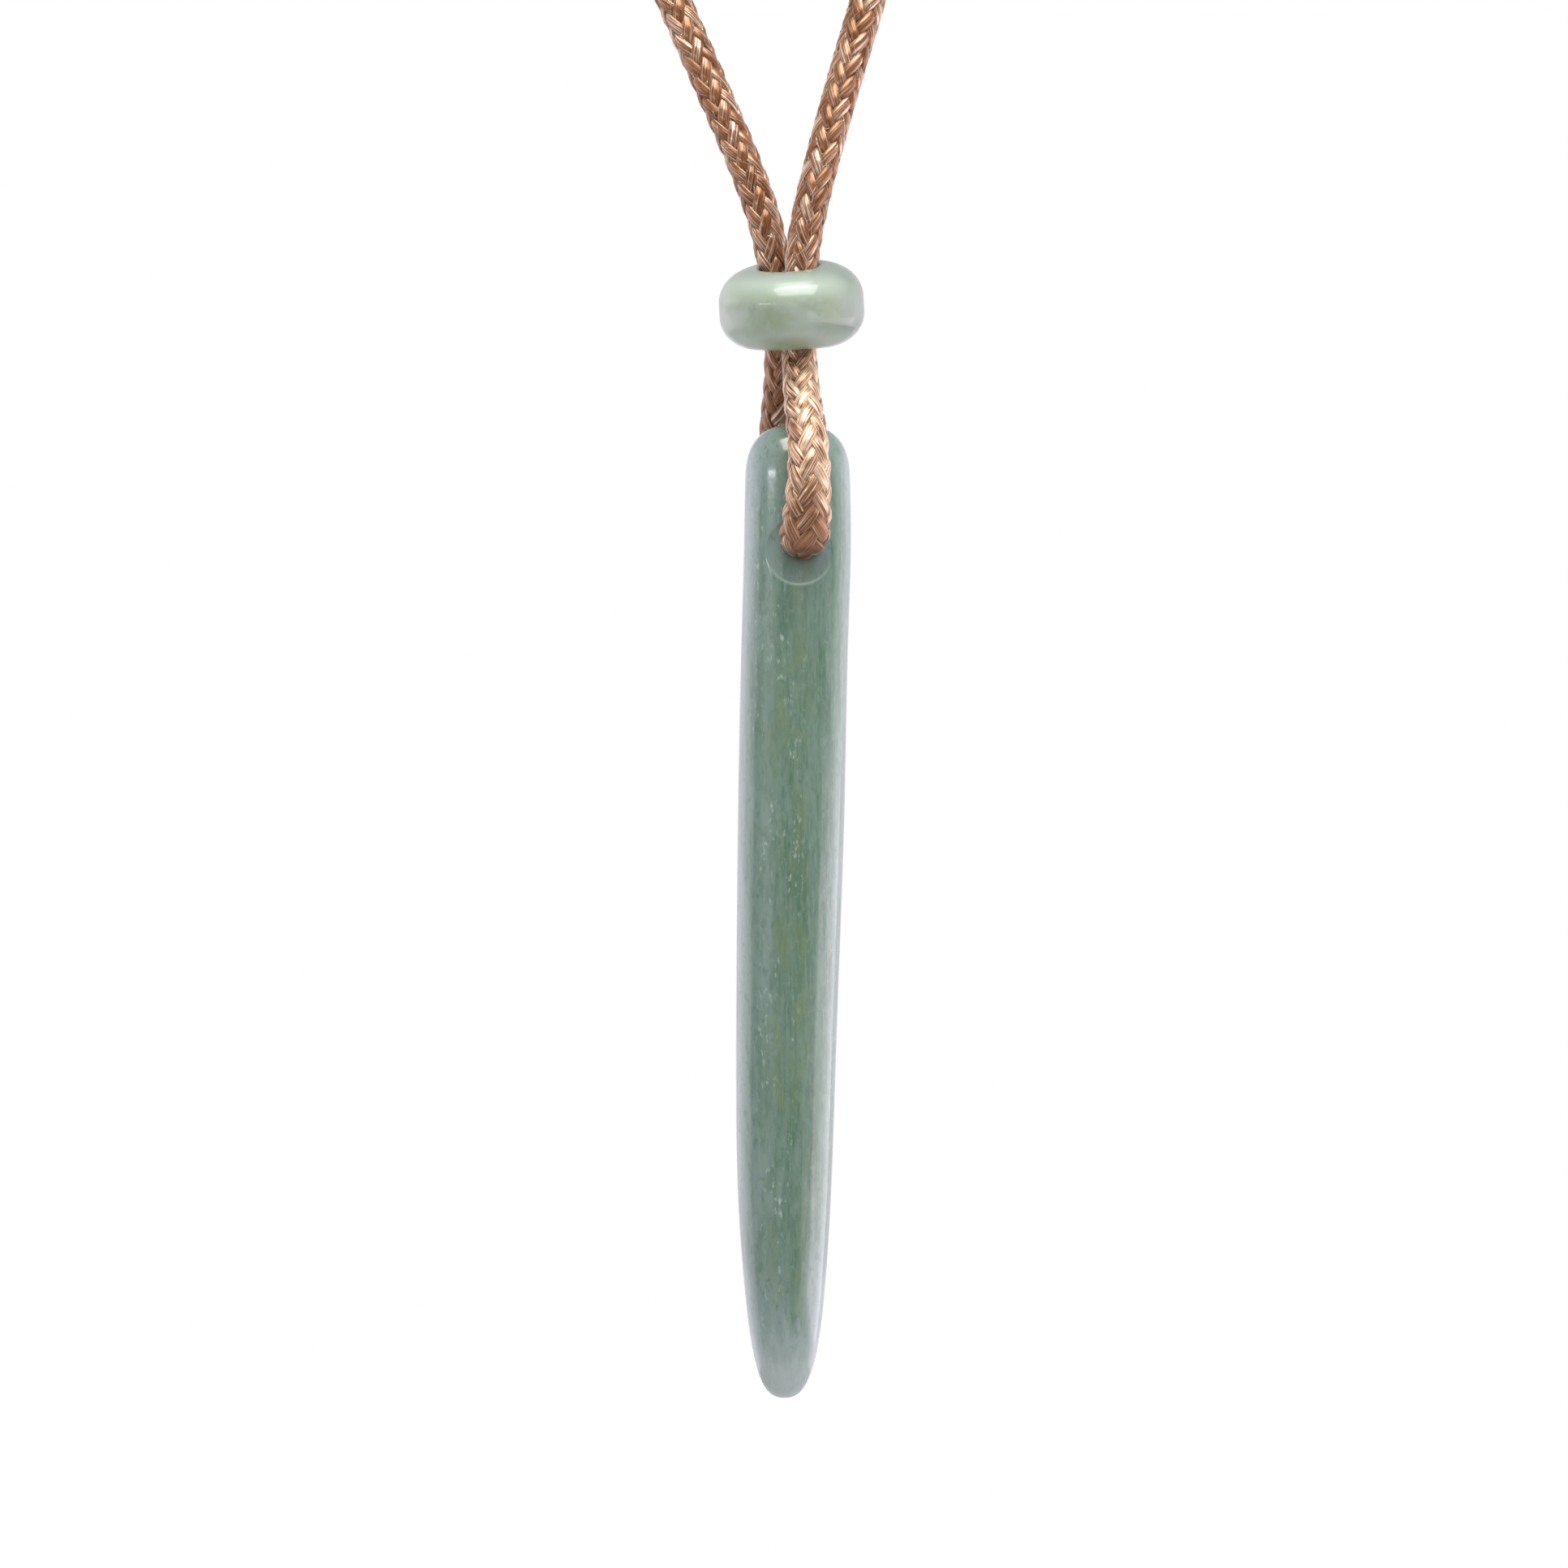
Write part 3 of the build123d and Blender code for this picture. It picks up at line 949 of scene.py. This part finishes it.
def greenJade():
    # The colour lies in long upright strands. Misty grey fills the left side and the tip, whose end is
    # pale.
    # The top is mistier, partly its own tone and partly a painted reflection of the bright surroundings,
    # and the dish is mistier with painted light. Olive patches lie near the middle, short white flecks run
    # down the left of it, and a painted highlight lies along the lower edge of the dish, where the rim
    # catches the light.
    finish = Finish(bpy.data.materials.new("green_jade"))

    def pattern(across, along, seed, detail, roughness, distortion, turn):
        scale = (across / mm, across / mm, along / mm)
        move = tuple(-value * mm * repeats + seed for value, repeats in zip(holeCentre, scale))
        at = finish.place(scale, move=move, turn=(0, turn, 0))
        return finish.noise(at, detail, roughness, distortion)

    strands, threads, clouds, warm, patches, speck, mottle = (
        pattern(*row) for row in greenPatterns.values()
    )
    side = finish.part("X", holeCentre[0])
    down = finish.part("Z", holeCentre[2]) * -1
    fromHole = (side * side + down * down) ** 0.5
    tip = (down + (clouds - 0.5) * 9).between(40, 50)
    left = ((side + (clouds - 0.5) * 1.2) * -1).between(0.3, 2.0)
    # paler and greyer towards the top, partly the stone's own tone and partly a painted reflection of the
    # bright surroundings on its shoulders
    top = (down * -1).between(-2.5, 6.0)
    middle = 1 - (side + 0.55).between(0.2, 2.4) - (side * -1 - 0.55).between(0.2, 2.2)
    misty = clouds.between(0.38, 0.62) * 0.4 + left * 0.45 + tip + top * 0.6
    # painted light: mistier and paler inside the dish, for its floor catching the light
    misty = (misty + 0.3 - fromHole.between(1.95, 2.12) * 0.3).between(0.0, 1.2)
    olive = warm.between(0.4, 0.7) * middle * (1 - tip)
    end = (down + (strands - 0.5) * 6).between(46, 52.5)
    flecks = speck.between(0.55, 0.72) * patches.between(0.44, 0.62)
    flecks = flecks * (1 - abs(side + 1.3).between(0.7, 2.4))
    # painted highlight along the dish's lower rim, where its edge catches the light from above
    rim = fromHole.between(1.9, 2.04) * (1 - fromHole.between(2.06, 2.2)) * down.between(0.3, 1.3)
    layers = [
        (strands.between(0.36, 0.64), "body"),
        (threads.between(0.46, 0.7) * 0.5, "bright"),
        (misty, "misty"),
        (mottle.between(0.48, 0.72) * 0.62, "bright"),
        ((1 - mottle).between(0.5, 0.74) * 0.62, "deep"),
        (olive * 0.55, "olive"),
        (patches.between(0.56, 0.7) * (1 - tip) * 0.45, "deep"),
        (threads.between(0.6, 0.78) * tip * 0.5, "deep"),
        (end * 0.8, "pale"),
        (flecks * 0.8, "fleck"),
        (rim * 0.34, "fleck"),
    ]
    return finish.surface(
        Base_Color=finish.layered("deep", greenColours, layers),
        Roughness=threads * 0.08 + 0.2,
        IOR=1.5,
        Subsurface_Weight=0.6,
        Subsurface_Radius=(1.0, 1.25, 1.1),
        Subsurface_Scale=0.0006,
        Coat_Weight=0.85,
        Coat_IOR=1.58,
        Coat_Roughness=0.13,
        Normal=finish.bump(strands * 0.5 + threads * 0.3, 0.00001, 0.25),
    )


paleColours = {
    "body": (168, 182, 165),
    "green": (149, 164, 136),
    # the mottling, and the painted sheen at the top
    "white": (170, 178, 173),
    # the painted shade at the right side and top rim
    "deep": (131, 146, 132),
    # the painted shade under the front
    "under": (122, 138, 98),
    "fleck": (188, 204, 187),
}

# repeats per millimetre, move, detail, roughness and distortion
palePatterns = {
    "clouds": (0.42, (2.2, 1.1, 4.2), 3, 0.55, 0.5),
    "mottle": (1.5, (7.1, 3.3, 0.4), 4, 0.6, 0.3),
    "grain": (6.0, (1.1, 8.3, 5.4), 4, 0.6, 0.0),
}


def paleJade():
    # Greenest round its middle, whiter below, and whiter above with a painted sheen that stands for the
    # main light's reflection. Painted shade makes it deeper at its right side and top rim, and a deep green
    # painted shade lies under its front
    finish = Finish(bpy.data.materials.new("pale_jade"))
    clouds, mottle, grain = (
        finish.noise(finish.place((repeats / mm,) * 3, move=move), detail, roughness, distortion)
        for repeats, move, detail, roughness, distortion in palePatterns.values()
    )
    side = finish.part("X", holeCentre[0] - beadSizes["leftOfHole"])
    over = finish.part("Z", holeCentre[2] + beadSizes["aboveHole"])
    front = finish.part("Y", holeCentre[1]) * -1
    below = over * -1
    green = clouds.between(0.36, 0.6) * (1 - over.between(-0.4, 1.1) * 0.85)
    # painted shade: deeper at the right side, the top rim and the lower right
    paintedShade = side.between(2.4, 4.2) + over.between(1.1, 2.4) * 0.95
    paintedShade = paintedShade + side.between(0.0, 2.0) * below.between(0.2, 1.4) * 0.5
    # painted shade: deep green under the bead's front
    under = below.between(1.7, 2.4) * (1 - (side * side).between(0.6, 5.0)) * front.between(0.5, 2.0)
    layers = [
        (green, "green"),
        (mottle.between(0.5, 0.7) * 0.55, "white"),
        (grain.between(0.62, 0.75) * 0.35, "fleck"),
        # painted sheen: whiter towards the top, for the main light's reflection
        (over.between(0.4, 2.4) * 0.35, "white"),
        (paintedShade, "deep"),
        (below.between(0.9, 2.2) * 0.6, "fleck"),
        (under * 0.55, "under"),
    ]
    return finish.surface(
        Base_Color=finish.layered("body", paleColours, layers),
        Roughness=grain * 0.12 + 0.28,
        IOR=1.44,
        Subsurface_Weight=0.7,
        Subsurface_Radius=(1.0, 1.15, 0.95),
        Subsurface_Scale=0.001,
        Coat_Weight=0.6,
        Coat_Roughness=0.05,
        Normal=finish.bump(mottle * 0.6 + grain * 0.2, 0.000012, 0.3),
    )


cordColours = {
    # the deepest brown, also laid as painted shade on the stitches' tips, the core and where the cord goes
    # into the hole
    "dark": (50, 22, 8),
    "body": (150, 97, 57),
    # near white: partly the filaments' own pale tone, partly painted glints
    "light": (255, 242, 222),
    # the painted sheen's colour, pale gold
    "paintedSheen": (252, 220, 186),
}

# repeats per millimetre across a stitch and along it, move, detail and roughness
cordPatterns = {
    "filament": (17.0, 0.3, (0, 0, 0), 2, 0.6),
    "broad": (3.4, 0.22, (4.1, 2.2, 0), 2, 0.5),
}


def braidedCord():
    # Filaments run along each stitch, whose tips are darkened with painted shade, where they dip under
    # their neighbours. A painted sheen makes the cord paler in front, where it bends away from the jade
    # towards the light above, and painted shade darkens it where it goes into the hole.
    finish = Finish(bpy.data.materials.new("braided_cord"))
    filament, broad = (
        finish.noise(finish.place((across, along, 1.0), "UV", move=move), detail, roughness)
        for across, along, move, detail, roughness in cordPatterns.values()
    )
    shade, tip = (
        finish.node("ShaderNodeAttribute", {"attribute_name": name}, output="Fac")
        for name in ("shade", "tip")
    )
    light = filament.between(0.25, 0.75) * 0.6 + broad * 0.4 + (shade - 0.5) * 0.25
    front = finish.part("Y", holeCentre[1]) * -1
    up = finish.part("Z", holeCentre[2])
    # painted sheen: paler in front, from about the hole up to the bend, where the cord faces the light
    # above
    paintedSheen = front.between(0.2, 1.4) * up.between(-0.4, 5.2) * (1 - up.between(10.0, 15.0))
    layers = [
        (light.between(0.0, 0.55), "body"),
        # the palest filaments go near white: partly their own tone, partly painted glints of the satin
        (light.between(0.54, 0.9) * 0.85, "light"),
        (paintedSheen * light.between(0.32, 0.72) * 0.92, "paintedSheen"),
        # painted shade at the stitches' tips, where they dip under their neighbours
        (tip.between(0.35, 0.85) * 0.9, "dark"),
        # painted shade, darkest where the cord goes down into the spike's hole and below it
        ((1 - up.between(-0.8, 0.7)) * 0.7, "dark"),
    ]
    return finish.surface(
        Base_Color=finish.layered("dark", cordColours, layers),
        Roughness=0.28,
        Anisotropic=0.8,
        Metallic=0.4,
        IOR=1.8,
        Specular_Tint=(1.0, 0.92, 0.78, 1.0),
        Sheen_Weight=0.8,
        Sheen_Roughness=0.25,
        Sheen_Tint=(1.0, 0.92, 0.84, 1.0),
        Normal=finish.bump(filament + broad * 0.8, 0.00004, 0.7),
    )


finishes = (braidedCord(), (cord, fibres, knot)), (paleJade(), (bead,)), (greenJade(), (spike,))
for finish, pieces in finishes:
    for piece in pieces:
        piece.data.materials.clear()
        piece.data.materials.append(finish)
print("materials made")

# Floor, lights and surroundings

studio = {
    "floorDrop": 0.5,  # metres under the nape
    "floorSize": 1.3,
    "floorColours": ((0.8, 0.8, 0.8), (0.84, 0.84, 0.84)),
    "floorGrain": 40.0,  # repeats per metre
    "front": 0.24,  # brightness before, over and under the pendant
    "back": 1.7,  # and what is added behind it, most of all where the look is level
    "right": 0.05,  # and on its right side
    "tint": (0.99, 0.93, 1.03, 1.0),
}

white, lilac = (1.0, 1.0, 1.0), (1.0, 0.86, 0.98)
# place, what it points at, size, power and colour, in metres and watts
studioLights = {
    "main_softbox": ((0.055, -0.4, 0.24), (0.012, -0.125, -0.19), (0.46, 0.34), 3.2, white),
    "top_softbox": ((0.02, -0.2, 0.21), (0.012, -0.125, -0.19), (0.22, 0.18), 0.5, white),
    "left_softbox": ((-0.4, -0.62, -0.12), (0.012, -0.125, -0.2), (0.2, 0.02), 0.26, white),
    "right_board": ((0.34, -0.17, -0.275), (0.012, -0.17, -0.275), (0.48, 0.11), 0.32, lilac),
    "low_board": ((0.34, -0.42, -0.31), (0.012, -0.125, -0.26), (0.34, 0.07), 0.13, lilac),
}


def makeFloor():
    half, z = studio["floorSize"] / 2 / mm, -studio["floorDrop"] / mm
    corners = np.array([[-half, -half, z], [half, -half, z], [half, half, z], [-half, half, z]])
    floor = newObject("floor", meshFrom("floor", corners, np.array([[0, 1, 2, 3]])))
    finish = Finish(bpy.data.materials.new("floor"))
    grain = finish.noise(finish.place((studio["floorGrain"],) * 3), 3, 0.5)
    shade = finish.mixColour(grain, *studio["floorColours"])
    floor.data.materials.append(finish.surface(Base_Color=shade, Roughness=0.7))


def makeLights():
    for name, (place, aim, size, power, colour) in studioLights.items():
        data = bpy.data.lights.new(name, "AREA")
        data.color = colour
        data.shape = "RECTANGLE"
        data.size, data.size_y = size
        data.energy = power
        light = newObject(name, data)
        light.location = place
        way = np.array(aim) - np.array(place)
        flat = math.hypot(way[0], way[1])
        light.rotation_euler = (math.atan2(flat, -way[2]), 0, math.atan2(-way[0], way[1]))


def makeSurroundings():
    # Dim before the pendant and bright behind it. With y how far back a look goes, the light starts
    # between -0.4 and -0.25, like a white board's edge, grows up to 0.3 and is dimmer again straight
    # behind. It fades as the look leaves the level, more slowly downwards. The camera sees plain white.
    sky = Finish(bpy.data.worlds.new("surroundings"))
    bpy.context.scene.world = sky.owner
    direction = sky.node("ShaderNodeTexCoord", output="Generated")
    x, y, z = (sky.node("ShaderNodeSeparateXYZ", None, {0: direction}, axis) for axis in "XYZ")
    behind = y.between(-0.4, -0.25) * 0.65 + y.between(-0.25, 0.3) * 0.35 - y.between(0.5, 0.95) * 0.55
    right = x.between(0.4, 0.95) * y.between(-0.7, -0.3)
    level = (1 - z.between(0.0, 0.9) - (z * -0.6).between(0.0, 0.9)) ** 2 * 0.9 + 0.1
    strength = (behind * studio["back"] + right * studio["right"]) * level + studio["front"]
    light = sky.node("ShaderNodeBackground", None, {"Color": studio["tint"], "Strength": strength})
    plain = sky.node("ShaderNodeBackground", None, {"Color": (*white, 1.0), "Strength": 1.0})
    seen = sky.node("ShaderNodeLightPath", output="Is Camera Ray")
    both = sky.node("ShaderNodeMixShader", None, {0: seen, 1: light, 2: plain})
    sky.node("ShaderNodeOutputWorld", None, {"Surface": both})


makeFloor()
makeLights()
makeSurroundings()
print("studio made")
